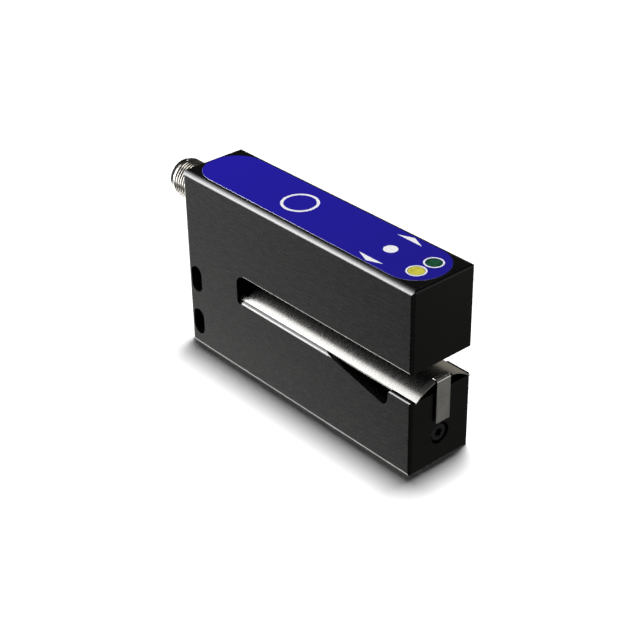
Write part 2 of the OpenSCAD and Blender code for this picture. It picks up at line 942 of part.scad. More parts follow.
module connector_oring() {
    color([0.05, 0.05, 0.05])
        on_connector()
            translate([0, 0, -oring_t / 2])
                rotate_extrude()
                    translate([conn_r + oring_t / 2 + fit, 0])
                        circle(oring_t / 2 - fit / 2);
}

// A wire from a contact pin's rear end: straight on, then bent down onto the main board
module pin_wire(run, drop) {
    rod_x(0, run, 0, wire_r);
    translate([run, 0, 0])
        mirror([0, 0, 1])
            bend_up(wire_bend, wire_r);
    translate([run + wire_bend, 0, -wire_bend])
        mirror([0, 0, 1])
            cylinder(h = drop - wire_bend, r = wire_r);
}

module connector_wires() {
    color([0.35, 0.2, 0.1])
        for (sz = [0, 1], sy = [-1, 1]) {
            z = conn_z + (2 * sz - 1) * contact_x;
            translate([x_rear - contact_rear, sy * contact_x, z])
                pin_wire(wire_run + sz * wire_stagger, z - main_top);
        }
}

module board(z) {
    difference() {
        plate(board_x0, board_x1, board_w, board_r, z, board_t);
        for (p = screw_spots)
            translate([p.x, p.y, z - eps])
                cylinder(h = board_t + 2 * eps, r = screw_r + fit);
    }
}

module main_board() {
    color([0.05, 0.35, 0.15])
        board(main_z);
}

module display_board() {
    color([0.05, 0.35, 0.15])
        board(display_z);
}

module spacers(z0, z1) {
    for (p = screw_spots)
        translate([p.x, p.y, 0])
            ring_tube(z0, z1, spacer_r, screw_r + fit);
}

module lower_spacers() {
    color([0.8, 0.65, 0.3])
        spacers(floor_z, main_z);
}

module upper_spacers() {
    color([0.8, 0.65, 0.3])
        spacers(main_top, display_z);
}

module board_screws() {
    slit_w = 0.5;
    color("silver")
        for (p = screw_spots)
            translate([p.x, p.y, 0])
                difference() {
                    union() {
                        disc(floor_z - screw_bite, display_top + screw_head_h / 2, screw_r);
                        disc(display_top, display_top + screw_head_h, screw_head_r);
                    }
                    translate([0, 0, display_top + screw_head_h])
                        cube([2 * screw_head_r + eps, slit_w, screw_head_h], center = true);
                }
}

module at_header_pins() {
    for (i = [0 : header_count - 1])
        translate([header_x + (i - (header_count - 1) / 2) * pin_pitch, header_y, 0])
            children();
}

module header_block() {
    side = pin_side + 2 * fit;
    color([0.08, 0.08, 0.08])
        difference() {
            translate([header_x - header_count * pin_pitch / 2, header_y - header_h / 2, main_top])
                cube([header_count * pin_pitch, header_h, header_h]);
            at_header_pins()
                translate([0, 0, main_top])
                    cube([side, side, 2 * header_h + eps], center = true);
        }
}

module header_pins() {
    color([0.85, 0.7, 0.3])
        at_header_pins()
            translate([-pin_side / 2, -pin_side / 2, main_top])
                cube([pin_side, pin_side, display_z - main_top]);
}

// A chip body on the main board with a row of bent legs along each long side
module leaded_chip(len, wid, h, legs, pitch) {
    translate([-len / 2, -wid / 2, chip_lift])
        cube([len, wid, h - 2 * chip_lift]);
    for (i = [0 : legs - 1], s = [-1, 1])
        translate([(i - (legs - 1) / 2) * pitch, 0, 0]) {
            translate([-leg_w / 2, s * (wid + leg_reach) / 2 - leg_reach / 2 - leg_t / 2, 0])
                cube([leg_w, leg_reach + leg_t, leg_t]);
            translate([-leg_w / 2, s * (wid / 2 + leg_t / 2) - leg_t, 0])
                cube([leg_w, 2 * leg_t, h / 2]);
        }
}

module on_main(x, y) {
    translate([x, y, main_top])
        children();
}

module microcontroller() {
    color([0.1, 0.1, 0.1])
        on_main(mcu_x, chips_y)
            leaded_chip(mcu_side, mcu_side, mcu_h, 8, mcu_pitch);
}

module amplifier() {
    color([0.1, 0.1, 0.1])
        on_main(amplifier_x, chips_y)
            leaded_chip(amplifier_len, amplifier_w, amplifier_h, 4, amplifier_pitch);
}

module crystal() {
    color("silver")
        on_main(crystal_x, chips_y)
            linear_extrude(crystal_h)
                rounded_rect(crystal_len, crystal_w, crystal_r);
}

module voltage_regulator() {
    color([0.1, 0.1, 0.1])
        on_main(regulator_x, 0)
            leaded_chip(regulator_len, regulator_w, regulator_h, 3, regulator_pitch);
}

module output_transistors() {
    color([0.1, 0.1, 0.1])
        for (s = [-1, 1])
            on_main(transistor_x, s * transistor_y)
                leaded_chip(transistor_len, transistor_w, transistor_h, 2, transistor_pitch);
}

module electrolytic_capacitors() {
    color([0.75, 0.75, 0.77])
        for (s = [-1, 1])
            on_main(cans_x, s * (can_r + can_gap)) {
                linear_extrude(can_base_h)
                    rounded_rect(can_base_w, can_base_w, can_base_r);
                disc(can_base_h / 2, can_base_h / 2 + can_h, can_r);
            }
}

module chip_capacitors() {
    color([0.7, 0.6, 0.45])
        for (i = [0 : 5])
            on_main(chip_row_x + i * chip_pitch, chip_row_y)
                translate([-chip_w / 2, -chip_len / 2, 0])
                    cube([chip_w, chip_len, chip_h]);
}

module indicator(side) {
    translate([guide_x - chip_len / 2, side * guide_pitch / 2 - chip_w / 2, display_top])
        cube([chip_len, chip_w, led_h]);
}

module green_diode() {
    color([0.5, 0.9, 0.5])
        indicator(1);
}

module yellow_diode() {
    color([0.95, 0.9, 0.4])
        indicator(-1);
}

housing();
cover_gasket();
cover_plate();
keypad_foil();
snap_dome();
key_circuit();
green_light_guide();
yellow_light_guide();
guide_strip();
lock_screw();
receiver_window();
receiver_tube();
photodiode();
emitter_barrel();
barrel_oring();
emitter_lens();
infrared_emitter();
emitter_leads();
connector_shell();
connector_insert();
contact_pins();
connector_oring();
connector_wires();
main_board();
display_board();
lower_spacers();
upper_spacers();
board_screws();
header_block();
header_pins();
microcontroller();
amplifier();
crystal();
voltage_regulator();
output_transistors();
electrolytic_capacitors();
chip_capacitors();
green_diode();
yellow_diode();
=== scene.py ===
import math

import bmesh
import bpy
from mathutils import Matrix, Vector


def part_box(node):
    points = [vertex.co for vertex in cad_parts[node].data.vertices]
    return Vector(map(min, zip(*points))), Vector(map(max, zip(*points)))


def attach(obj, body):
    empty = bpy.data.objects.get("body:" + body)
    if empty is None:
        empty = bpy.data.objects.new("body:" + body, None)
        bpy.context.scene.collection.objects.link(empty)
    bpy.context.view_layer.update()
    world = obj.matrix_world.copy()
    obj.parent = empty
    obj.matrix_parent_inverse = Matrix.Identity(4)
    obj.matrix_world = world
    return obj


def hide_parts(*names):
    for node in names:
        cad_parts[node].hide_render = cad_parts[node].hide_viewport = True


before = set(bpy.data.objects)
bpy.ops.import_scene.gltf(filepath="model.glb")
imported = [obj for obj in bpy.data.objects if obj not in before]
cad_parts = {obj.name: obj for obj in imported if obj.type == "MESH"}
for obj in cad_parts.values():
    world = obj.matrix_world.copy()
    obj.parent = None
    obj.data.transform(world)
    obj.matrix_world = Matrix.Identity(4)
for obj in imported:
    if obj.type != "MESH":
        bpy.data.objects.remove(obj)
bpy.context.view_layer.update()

# Housing: one block of aluminium, milled with the fork slot, the wedge pocket, the mounting slots and
# the recess in its top. Its outer edges are rounded, and it is blasted fine and anodised black.
MM = 0.001


def finish(name, colour, roughness, metal=0.0, gloss=0.5):
    """A plain material, which the functions below give its grain."""
    material = bpy.data.materials.new(name)
    material.use_nodes = True
    shader = material.node_tree.nodes["Principled BSDF"]
    shader.inputs["Base Color"].default_value = (*colour, 1.0)
    shader.inputs["Roughness"].default_value = roughness
    shader.inputs["Metallic"].default_value = metal
    shader.inputs["Specular IOR Level"].default_value = gloss
    return material


def shader_of(material):
    return material.node_tree.nodes["Principled BSDF"]


def drive(material, setting, factor):
    """A factor takes over one of the shader's settings."""
    material.node_tree.links.new(factor, shader_of(material).inputs[setting])


def on_piece(material, scale):
    """The piece's own coordinates, with the given number of steps per metre along each axis."""
    nodes, links = material.node_tree.nodes, material.node_tree.links
    place = nodes.new("ShaderNodeTexCoord")
    mapping = nodes.new("ShaderNodeMapping")
    mapping.inputs["Scale"].default_value = scale
    links.new(place.outputs["Object"], mapping.inputs["Vector"])
    return mapping.outputs["Vector"]


def grain(material, size_mm, drawn=(1, 1, 1), detail=2.0):
    """Noise of that grain size, drawn out along the axes by the given factors."""
    nodes, links = material.node_tree.nodes, material.node_tree.links
    noise = nodes.new("ShaderNodeTexNoise")
    noise.inputs["Scale"].default_value = 1.0
    noise.inputs["Detail"].default_value = detail
    links.new(on_piece(material, [1 / (size_mm * MM * d) for d in drawn]), noise.inputs["Vector"])
    return noise.outputs["Fac"]


def tones(material, factor, dark, light, low=0.35, high=0.65):
    """The base colour wanders between two tones."""
    nodes, links = material.node_tree.nodes, material.node_tree.links
    ramp = nodes.new("ShaderNodeValToRGB")
    for stop, place, colour in zip(ramp.color_ramp.elements, (low, high), (dark, light)):
        stop.position = place
        stop.color = (*colour, 1.0)
    links.new(factor, ramp.inputs["Fac"])
    drive(material, "Base Color", ramp.outputs["Color"])


def spread(material, factor, given, wanted):
    """Turns a factor's given span, its first and last value, into the wanted one."""
    nodes, links = material.node_tree.nodes, material.node_tree.links
    span = nodes.new("ShaderNodeMapRange")
    for label, value in zip(("From Min", "From Max", "To Min", "To Max"), (*given, *wanted)):
        span.inputs[label].default_value = value
    links.new(factor, span.inputs["Value"])
    return span.outputs["Result"]


def polish(material, factor, low, high):
    """The roughness wanders between two values."""
    drive(material, "Roughness", spread(material, factor, (0.3, 0.7), (low, high)))


def relief(material, factor, height_mm):
    """Bumps of the given height in the finish."""
    nodes, links = material.node_tree.nodes, material.node_tree.links
    bump = nodes.new("ShaderNodeBump")
    bump.inputs["Strength"].default_value = 1.0
    bump.inputs["Distance"].default_value = height_mm * MM
    links.new(factor, bump.inputs["Height"])
    drive(material, "Normal", bump.outputs["Normal"])


def level_mm(material, axis):
    """How far along one axis a point of the piece is, in millimetres."""
    split = material.node_tree.nodes.new("ShaderNodeSeparateXYZ")
    material.node_tree.links.new(on_piece(material, (1 / MM, 1 / MM, 1 / MM)), split.inputs["Vector"])
    return split.outputs[axis]


def within(material, axis, middle_mm, reach_mm):
    """1 where the piece is within that reach of a level on one axis, and 0 elsewhere."""
    near = material.node_tree.nodes.new("ShaderNodeMath")
    near.operation = "COMPARE"
    near.inputs[1].default_value = middle_mm
    near.inputs[2].default_value = reach_mm
    material.node_tree.links.new(level_mm(material, axis), near.inputs[0])
    return near.outputs["Value"]


def times(material, first, second):
    """The product of two sockets."""
    nodes, links = material.node_tree.nodes, material.node_tree.links
    product = nodes.new("ShaderNodeMath")
    product.operation = "MULTIPLY"
    links.new(first, product.inputs[0])
    links.new(second, product.inputs[1])
    return product.outputs["Value"]


def inside(material, box):
    """1 in a box, which gives its middle and its reach in millimetres on each axis that bounds it."""
    mask = within(material, *box[0])
    for side in box[1:]:
        mask = times(material, mask, within(material, *side))
    return mask


def paint_over(material, mask, colour):
    """Another base colour takes the place of the first where the mask is 1."""
    nodes, links = material.node_tree.nodes, material.node_tree.links
    coat = nodes.new("ShaderNodeMix")
    coat.data_type = "RGBA"
    coat.inputs["B"].default_value = (*colour, 1.0)
    below = shader_of(material).inputs["Base Color"].links[0].from_socket
    links.new(mask, coat.inputs["Factor"])
    links.new(below, coat.inputs["A"])
    drive(material, "Base Color", coat.outputs["Result"])


def dress(material, *nodes):
    """Gives solids of the CAD model this material alone."""
    for node in nodes:
        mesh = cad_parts[node].data
        mesh.materials.clear()
        mesh.materials.append(material)


anodised = finish("anodised_black", (0.002, 0.002, 0.002), 0.25, gloss=0.4)
tones(anodised, grain(anodised, 0.5, (40, 1, 1)), (0.0012, 0.0013, 0.0012), (0.0028, 0.003, 0.0028))
polish(anodised, grain(anodised, 0.5, (6, 1, 1)), 0.236, 0.287)
relief(anodised, grain(anodised, 0.25, detail=1.0), 0.005)
# The walls of the fork slot are milled last and stay dull
SLOT_WALLS = (("X", 12, 37), ("Y", 0, 10.9), ("Z", 27.6, 4.56))
drive(anodised, "Specular IOR Level", spread(anodised, inside(anodised, SLOT_WALLS), (0, 1), (0.37, 0.03)))
# The rounded edges along the housing are rubbed bright: there the surface looks partly to the side and
# partly up or down. Behind the pocket the lower jaw's edges get a pale grey base colour, a painted
# highlight.
looks = anodised.node_tree.nodes.new("ShaderNodeNewGeometry")
parts = anodised.node_tree.nodes.new("ShaderNodeSeparateXYZ")
anodised.node_tree.links.new(looks.outputs["True Normal"], parts.inputs["Vector"])
slant = anodised.node_tree.nodes.new("ShaderNodeMath")
slant.operation = "ABSOLUTE"
anodised.node_tree.links.new(times(anodised, parts.outputs["Y"], parts.outputs["Z"]), slant.inputs[0])
rubbed_and_painted_highlight = spread(anodised, slant.outputs["Value"], (0.02, 0.16), (0, 1))
drive(anodised, "IOR", spread(anodised, rubbed_and_painted_highlight, (0, 1), (1.5, 2.6)))
# Painted highlight: pale grey painted on the lower jaw's rounded top edges behind the pocket
PAINTED_HIGHLIGHT_EDGES = (("X", -5, 20), ("Z", 23.2, 0.5))
paint_over(anodised, times(anodised, rubbed_and_painted_highlight, inside(anodised, PAINTED_HIGHLIGHT_EDGES)), (0.42, 0.42, 0.42))
dress(anodised, "housing")

# Receiver: a dark red filter window cemented into the step of its bore, a black tube that keeps
# stray light out, and a photodiode soldered under the main board.
filter_glass = finish("filter_glass", (0.12, 0.01, 0.015), 0.08)
tones(filter_glass, grain(filter_glass, 1.5), (0.1, 0.008, 0.012), (0.14, 0.012, 0.02))
dress(filter_glass, "receiver_window")

black_plastic = finish("black_plastic", (0.02, 0.02, 0.02), 0.5)
polish(black_plastic, grain(black_plastic, 0.8), 0.42, 0.6)
relief(black_plastic, grain(black_plastic, 0.12), 0.004)
dress(black_plastic, "receiver_tube")

diode_resin = finish("diode_resin", (0.02, 0.015, 0.03), 0.12)
tones(diode_resin, grain(diode_resin, 0.8), (0.015, 0.01, 0.02), (0.03, 0.02, 0.05))
dress(diode_resin, "photodiode")

# Emitter: a black barrel pushed up into the lower jaw with an O-ring round it, a glass lens on top,
# and an infrared diode inside, its two red leads drawn back through the wire channel.
dress(black_plastic, "emitter_barrel")

seal_rubber = finish("seal_rubber", (0.015, 0.015, 0.015), 0.7)
tones(seal_rubber, grain(seal_rubber, 0.5), (0.012, 0.012, 0.012), (0.022, 0.022, 0.021))
dress(seal_rubber, "barrel_oring")

lens_glass = finish("lens_glass", (0.85, 0.9, 0.95), 0.03)
shader_of(lens_glass).inputs["Transmission Weight"].default_value = 0.9
polish(lens_glass, grain(lens_glass, 1.0), 0.02, 0.05)
dress(lens_glass, "emitter_lens")
dress(diode_resin, "infrared_emitter")

wire_sheath = finish("wire_sheath", (0.45, 0.04, 0.02), 0.4)
tones(wire_sheath, grain(wire_sheath, 1.0), (0.4, 0.03, 0.018), (0.5, 0.05, 0.025))
dress(wire_sheath, "emitter_leads")

# Lock screw: a blackened steel cap screw with a six-lobed drive, turned in from the front end until
# it clamps the emitter's barrel.
black_steel = finish("black_steel", (0.05, 0.05, 0.052), 0.32, metal=0.6)
polish(black_steel, grain(black_steel, 0.3), 0.25, 0.4)
relief(black_steel, grain(black_steel, 0.1), 0.003)
dress(black_steel, "lock_screw")

# Boards: two green circuit boards on brass spacers, held by four zinc-plated screws and joined by a
# pin header, with the microcontroller, the amplifier and the supply's parts on the lower one.
solder_mask = finish("solder_mask", (0.01, 0.12, 0.04), 0.3)
tracks = solder_mask.node_tree.nodes.new("ShaderNodeTexVoronoi")
tracks.feature = "DISTANCE_TO_EDGE"
tracks.distance = "CHEBYCHEV"
tracks.inputs["Scale"].default_value = 1.0
solder_mask.node_tree.links.new(on_piece(solder_mask, (500, 500, 500)), tracks.inputs["Vector"])
tones(solder_mask, tracks.outputs["Distance"], (0.04, 0.26, 0.07), (0.008, 0.11, 0.035), 0.03, 0.06)
dress(solder_mask, "main_board", "display_board")

turned_brass = finish("turned_brass", (0.7, 0.5, 0.2), 0.25, metal=1.0)
polish(turned_brass, grain(turned_brass, 0.3, (12, 12, 1)), 0.18, 0.34)
dress(turned_brass, "lower_spacers", "upper_spacers")

zinc = finish("zinc_plate", (0.62, 0.63, 0.65), 0.3, metal=1.0)
polish(zinc, grain(zinc, 0.4), 0.22, 0.38)
dress(zinc, "board_screws")

gold = finish("gold_plate", (0.9, 0.62, 0.22), 0.2, metal=1.0)
polish(gold, grain(gold, 0.4), 0.14, 0.28)
dress(gold, "header_pins")
dress(black_plastic, "header_block")

chip_resin = finish("chip_resin", (0.025, 0.025, 0.027), 0.6)
tones(chip_resin, grain(chip_resin, 0.25), (0.02, 0.02, 0.021), (0.034, 0.034, 0.036))
dress(chip_resin, "microcontroller", "amplifier", "voltage_regulator", "output_transistors")

can_metal = finish("can_metal", (0.7, 0.7, 0.72), 0.3, metal=1.0)
polish(can_metal, grain(can_metal, 0.3, (1, 1, 10)), 0.22, 0.4)
dress(can_metal, "crystal", "electrolytic_capacitors")

ceramic = finish("chip_ceramic", (0.4, 0.3, 0.18), 0.55)
tones(ceramic, grain(ceramic, 0.3), (0.34, 0.26, 0.15), (0.46, 0.35, 0.22))
dress(ceramic, "chip_capacitors")

# Connector: a round four-pin plug with a hexagon, turned from brass and nickel plated, screwed into
# the rear wall on an O-ring. Its coupling thread is rolled on as one ridge along a helix.
nickel = finish("nickel_plate", (0.62, 0.59, 0.54), 0.2, metal=1.0)
tones(nickel, grain(nickel, 1.5), (0.56, 0.53, 0.48), (0.68, 0.66, 0.62))
# The collar at its free end is blackened
END_COLLAR = (("X", -61.45, 0.62),)
paint_over(nickel, inside(nickel, END_COLLAR), (0.05, 0.05, 0.05))
polish(nickel, grain(nickel, 0.25, (1, 12, 12)), 0.14, 0.26)
relief(nickel, grain(nickel, 0.15, (1, 8, 8)), 0.002)

PLUG_Z = 46.5 * MM
REAR_X = -47.5 * MM
THREAD_R = 6.0 * MM
ROOT_R = 5.42 * MM
PITCH = 1.0 * MM
THREAD_FROM, THREAD_TO = 4.2 * MM, 13.2 * MM
THREAD_MARGIN = 0.05 * MM
RIDGE_SUNK = 0.06 * MM
CREST = 0.16 * MM
TURN_STEPS = 64


def join_root(point):
    """A point of the thread's plain cylinder, taken in to the root of the thread."""
    along = REAR_X - point.x
    out = Vector((0, point.y, point.z - PLUG_Z))
    if THREAD_FROM - THREAD_MARGIN < along < THREAD_TO + THREAD_MARGIN and out.length > ROOT_R:
        out *= ROOT_R / out.length
    return Vector((point.x, out.y, out.z + PLUG_Z))


def add_piece(mesh, material):
    """Links a finished mesh as a piece that rides on the housing."""
    piece = bpy.data.objects.new(mesh.name, mesh)
    bpy.context.scene.collection.objects.link(piece)
    mesh.materials.clear()
    mesh.materials.append(material)
    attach(piece, "root")
    return piece


WELD = 0.0005 * MM
TURNED_EDGE = math.radians(15)
shell = bmesh.new()
shell.from_mesh(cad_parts["connector_shell"].data)
bmesh.ops.remove_doubles(shell, verts=shell.verts, dist=WELD)
for vertex in shell.verts:
    vertex.co = join_root(vertex.co)
bmesh.ops.dissolve_degenerate(shell, edges=shell.edges, dist=WELD)
bmesh.ops.recalc_face_normals(shell, faces=shell.faces)
shell_mesh = bpy.data.meshes.new("connector_shell_turned")
shell.to_mesh(shell_mesh)
shell.free()
shell_mesh.shade_smooth()
shell_mesh.set_sharp_from_angle(angle=TURNED_EDGE)
shell_piece = add_piece(shell_mesh, nickel)
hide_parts("connector_shell")


def start_tree(name, sizes):
    """A Geometry Nodes tree with one named input for each size, and its input and output nodes."""
    tree = bpy.data.node_groups.new(name, "GeometryNodeTree")
    tree.interface.new_socket("Geometry", in_out="OUTPUT", socket_type="NodeSocketGeometry")
    for label in sizes:
        tree.interface.new_socket(label, in_out="INPUT", socket_type="NodeSocketFloat")
    return tree, tree.nodes.new("NodeGroupInput"), tree.nodes.new("NodeGroupOutput")


def bake_tree(tree, end, output, sizes, material):
    """Ends the tree in Realize Instances and Set Material, and returns its plain mesh."""
    realize = tree.nodes.new("GeometryNodeRealizeInstances")
    coat = tree.nodes.new("GeometryNodeSetMaterial")
    coat.inputs["Material"].default_value = material
    tree.links.new(end, realize.inputs["Geometry"])
    tree.links.new(realize.outputs["Geometry"], coat.inputs["Geometry"])
    tree.links.new(coat.outputs["Geometry"], output.inputs["Geometry"])
    holder = bpy.data.objects.new(tree.name, bpy.data.meshes.new(tree.name + "_start"))
    bpy.context.scene.collection.objects.link(holder)
    modifier = holder.modifiers.new("shape", "NODES")
    modifier.node_group = tree
    for item in tree.interface.items_tree:
        if item.in_out == "INPUT":
            modifier[item.identifier] = sizes[item.name]
    holder.update_tag()
    depsgraph = bpy.context.evaluated_depsgraph_get()
    mesh = bpy.data.meshes.new_from_object(holder.evaluated_get(depsgraph), depsgraph=depsgraph)
    holder.modifiers.remove(modifier)
    bpy.data.objects.remove(holder)
    mesh.name = tree.name
    return mesh


def calc(tree, operation, first, second):
    """A Math node; each side is a socket or a number."""
    math_node = tree.nodes.new("ShaderNodeMath")
    math_node.operation = operation
    for socket, value in zip(math_node.inputs, (first, second)):
        if isinstance(value, (int, float)):
            socket.default_value = value
        else:
            tree.links.new(value, socket)
    return math_node.outputs["Value"]


thread_sizes = {
    "Root radius": ROOT_R - RIDGE_SUNK,
    "Thread radius": THREAD_R,
    "Pitch": PITCH,
    "Length": THREAD_TO - THREAD_FROM - PITCH,
    "Crest": CREST,
    "Start": THREAD_FROM + PITCH / 2,
}
thread, sizes_in, made = start_tree("connector_thread", thread_sizes)
helix = thread.nodes.new("GeometryNodeCurveSpiral")
helix.inputs["Resolution"].default_value = TURN_STEPS
thread.links.new(calc(thread, "DIVIDE", sizes_in.outputs["Length"], sizes_in.outputs["Pitch"]),
                 helix.inputs["Rotations"])
thread.links.new(sizes_in.outputs["Length"], helix.inputs["Height"])
for end in ("Start Radius", "End Radius"):
    thread.links.new(sizes_in.outputs["Root radius"], helix.inputs[end])
upright = thread.nodes.new("GeometryNodeSetCurveNormal")
upright.mode = "Z_UP"
thread.links.new(helix.outputs["Curve"], upright.inputs["Curve"])
ridge = thread.nodes.new("GeometryNodeCurvePrimitiveQuadrilateral")
ridge.mode = "TRAPEZOID"
ridge.inputs["Offset"].default_value = 0.0
thread.links.new(sizes_in.outputs["Pitch"], ridge.inputs["Bottom Width"])
thread.links.new(sizes_in.outputs["Crest"], ridge.inputs["Top Width"])
ridge_height = calc(thread, "SUBTRACT", sizes_in.outputs["Thread radius"], sizes_in.outputs["Root radius"])
thread.links.new(ridge_height, ridge.inputs["Height"])
lift = thread.nodes.new("ShaderNodeCombineXYZ")
thread.links.new(calc(thread, "MULTIPLY", ridge_height, 0.5), lift.inputs["Y"])
raise_ridge = thread.nodes.new("GeometryNodeTransform")
thread.links.new(ridge.outputs["Curve"], raise_ridge.inputs["Geometry"])
thread.links.new(lift.outputs["Vector"], raise_ridge.inputs["Translation"])
turn_ridge = thread.nodes.new("GeometryNodeTransform")
turn_ridge.inputs["Rotation"].default_value = (0, 0, math.radians(90))
thread.links.new(raise_ridge.outputs["Geometry"], turn_ridge.inputs["Geometry"])
sweep = thread.nodes.new("GeometryNodeCurveToMesh")
sweep.inputs["Fill Caps"].default_value = True
thread.links.new(upright.outputs["Curve"], sweep.inputs["Curve"])
thread.links.new(turn_ridge.outputs["Geometry"], sweep.inputs["Profile Curve"])
shift = thread.nodes.new("ShaderNodeCombineXYZ")
thread.links.new(calc(thread, "SUBTRACT", REAR_X, sizes_in.outputs["Start"]), shift.inputs["X"])
shift.inputs["Z"].default_value = PLUG_Z
lay = thread.nodes.new("GeometryNodeTransform")
lay.inputs["Rotation"].default_value = (0, math.radians(-90), 0)
thread.links.new(sweep.outputs["Mesh"], lay.inputs["Geometry"])
thread.links.new(shift.outputs["Vector"], lay.inputs["Translation"])
thread_mesh = bake_tree(thread, lay.outputs["Geometry"], made, thread_sizes, nickel)
thread_mesh.shade_flat()
thread_piece = add_piece(thread_mesh, nickel)

dress(black_plastic, "connector_insert")
dress(gold, "contact_pins")
dress(seal_rubber, "connector_oring")
dress(wire_sheath, "connector_wires")

# Top: the cover plate lies on its gasket over the boards, with the light guides and the snap dome of
# the set key in it. The dome's printed circuit has a tail down to the display board.
dress(seal_rubber, "cover_gasket")

cover_metal = finish("cover_metal", (0.4, 0.4, 0.41), 0.4, metal=1.0)
polish(cover_metal, grain(cover_metal, 0.2, (15, 1, 1)), 0.32, 0.48)
dress(cover_metal, "cover_plate")
dress(zinc, "snap_dome")

circuit_film = finish("circuit_film", (0.5, 0.27, 0.06), 0.3)
tones(circuit_film, grain(circuit_film, 0.6), (0.45, 0.23, 0.05), (0.55, 0.31, 0.08))
dress(circuit_film, "key_circuit")

green_resin = finish("green_resin", (0.01, 0.07, 0.03), 0.15)
tones(green_resin, grain(green_resin, 1.2), (0.008, 0.05, 0.022), (0.014, 0.09, 0.045))
dress(green_resin, "green_light_guide", "green_diode")

yellow_resin = finish("yellow_resin", (0.58, 0.55, 0.06), 0.15)
tones(yellow_resin, grain(yellow_resin, 1.2), (0.52, 0.49, 0.05), (0.64, 0.61, 0.08))
dress(yellow_resin, "yellow_light_guide", "yellow_diode")

# Keypad foil: a blue polyester film, printed from behind and cemented into the recess over the cover.
# Its cut edge catches the light as a thin pale line.


def along_x(material):
    """Rises along x, from 0 at 100 mm behind the housing's middle to 1 at 100 mm in front of it."""
    return spread(material, level_mm(material, "X"), (-100, 100), (0, 1))


foil_film = finish("foil_film", (0.022, 0.013, 0.33), 0.32, gloss=0.2)
# Painted shade: the blue is painted darker toward the front, standing in for the light falling off along
# the foil
tones(foil_film, along_x(foil_film), (0.014, 0.009, 0.34), (0.012, 0.0085, 0.26), 0.3, 0.7)
polish(foil_film, grain(foil_film, 0.4), 0.28, 0.38)
relief(foil_film, grain(foil_film, 0.15), 0.002)
dress(foil_film, "keypad_foil")

cut_edge = finish("foil_cut_edge", (0.45, 0.45, 0.62), 0.35, metal=0.6)
# Painted highlight and shade: the cut edge is painted pale toward the rear and dark toward the front
tones(cut_edge, along_x(cut_edge), (0.8, 0.8, 0.92), (0.2, 0.2, 0.36), 0.4, 0.66)
foil_low, foil_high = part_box("keypad_foil")
EDGE_R = 0.06 * MM
EDGE_INSET = 0.02 * MM
FOIL_CORNER = 9.2 * MM
CORNER_STEPS, EDGE_SIDES = 24, 8
edge_sizes = {
    "Length": foil_high.x - foil_low.x - 2 * EDGE_INSET,
    "Width": foil_high.y - foil_low.y - 2 * EDGE_INSET,
    "Corner": FOIL_CORNER - EDGE_INSET,
    "Edge radius": EDGE_R,
    "Height": foil_high.z - EDGE_R,
}
edge, sizes_in, made = start_tree("foil_edge", edge_sizes)
outline = edge.nodes.new("GeometryNodeCurvePrimitiveQuadrilateral")
edge.links.new(sizes_in.outputs["Length"], outline.inputs["Width"])
edge.links.new(sizes_in.outputs["Width"], outline.inputs["Height"])
corners = edge.nodes.new("GeometryNodeFilletCurve")
corners.mode = "POLY"
corners.inputs["Count"].default_value = CORNER_STEPS
edge.links.new(outline.outputs["Curve"], corners.inputs["Curve"])
edge.links.new(sizes_in.outputs["Corner"], corners.inputs["Radius"])
section = edge.nodes.new("GeometryNodeCurvePrimitiveCircle")
section.inputs["Resolution"].default_value = EDGE_SIDES
edge.links.new(sizes_in.outputs["Edge radius"], section.inputs["Radius"])
sweep = edge.nodes.new("GeometryNodeCurveToMesh")
edge.links.new(corners.outputs["Curve"], sweep.inputs["Curve"])
edge.links.new(section.outputs["Curve"], sweep.inputs["Profile Curve"])
level = edge.nodes.new("ShaderNodeCombineXYZ")
edge.links.new(sizes_in.outputs["Height"], level.inputs["Z"])
lay = edge.nodes.new("GeometryNodeTransform")
edge.links.new(sweep.outputs["Mesh"], lay.inputs["Geometry"])
edge.links.new(level.outputs["Vector"], lay.inputs["Translation"])
add_piece(bake_tree(edge, lay.outputs["Geometry"], made, edge_sizes, cut_edge), cut_edge)

# Print: white ink on the foil. A ring marks the key, a dot and two pointers mark where the beam
# crosses the fork, and a ring goes round each light.
white_ink = finish("white_ink", (0.85, 0.85, 0.88), 0.4)
tones(white_ink, grain(white_ink, 0.4), (0.8, 0.8, 0.83), (0.9, 0.9, 0.93))
INK_LOW = foil_high.z - 0.01 * MM
INK_HIGH = foil_high.z + 0.012 * MM


def print_shape(name, loops):
    """A thin flat mark. Each loop is its outline in millimetres, or its outer and inner outlines."""
    ink = bmesh.new()
    for outer, inner in loops:
        rows = [[ink.verts.new((x * MM, y * MM, z)) for x, y in ring]
                for ring in (outer, inner) if ring for z in (INK_LOW, INK_HIGH)]
        low, high = rows[0], rows[1]
        count = len(low)
        for i in range(count):
            j = (i + 1) % count
            ink.faces.new((low[i], low[j], high[j], high[i]))
            if inner:
                ink.faces.new((rows[2][j], rows[2][i], rows[3][i], rows[3][j]))
                ink.faces.new((high[i], high[j], rows[3][j], rows[3][i]))
                ink.faces.new((low[j], low[i], rows[2][i], rows[2][j]))
        if not inner:
            ink.faces.new(high)
            ink.faces.new(reversed(low))
    bmesh.ops.recalc_face_normals(ink, faces=ink.faces)
    mesh = bpy.data.meshes.new(name)
    ink.to_mesh(mesh)
    ink.free()
    add_piece(mesh, white_ink)


def circle_points(x, y, radius, count=96):
    """Points round a circle, in millimetres."""
    turns = [2 * math.pi * i / count for i in range(count)]
    return [(x + radius * math.cos(t), y + radius * math.sin(t)) for t in turns]


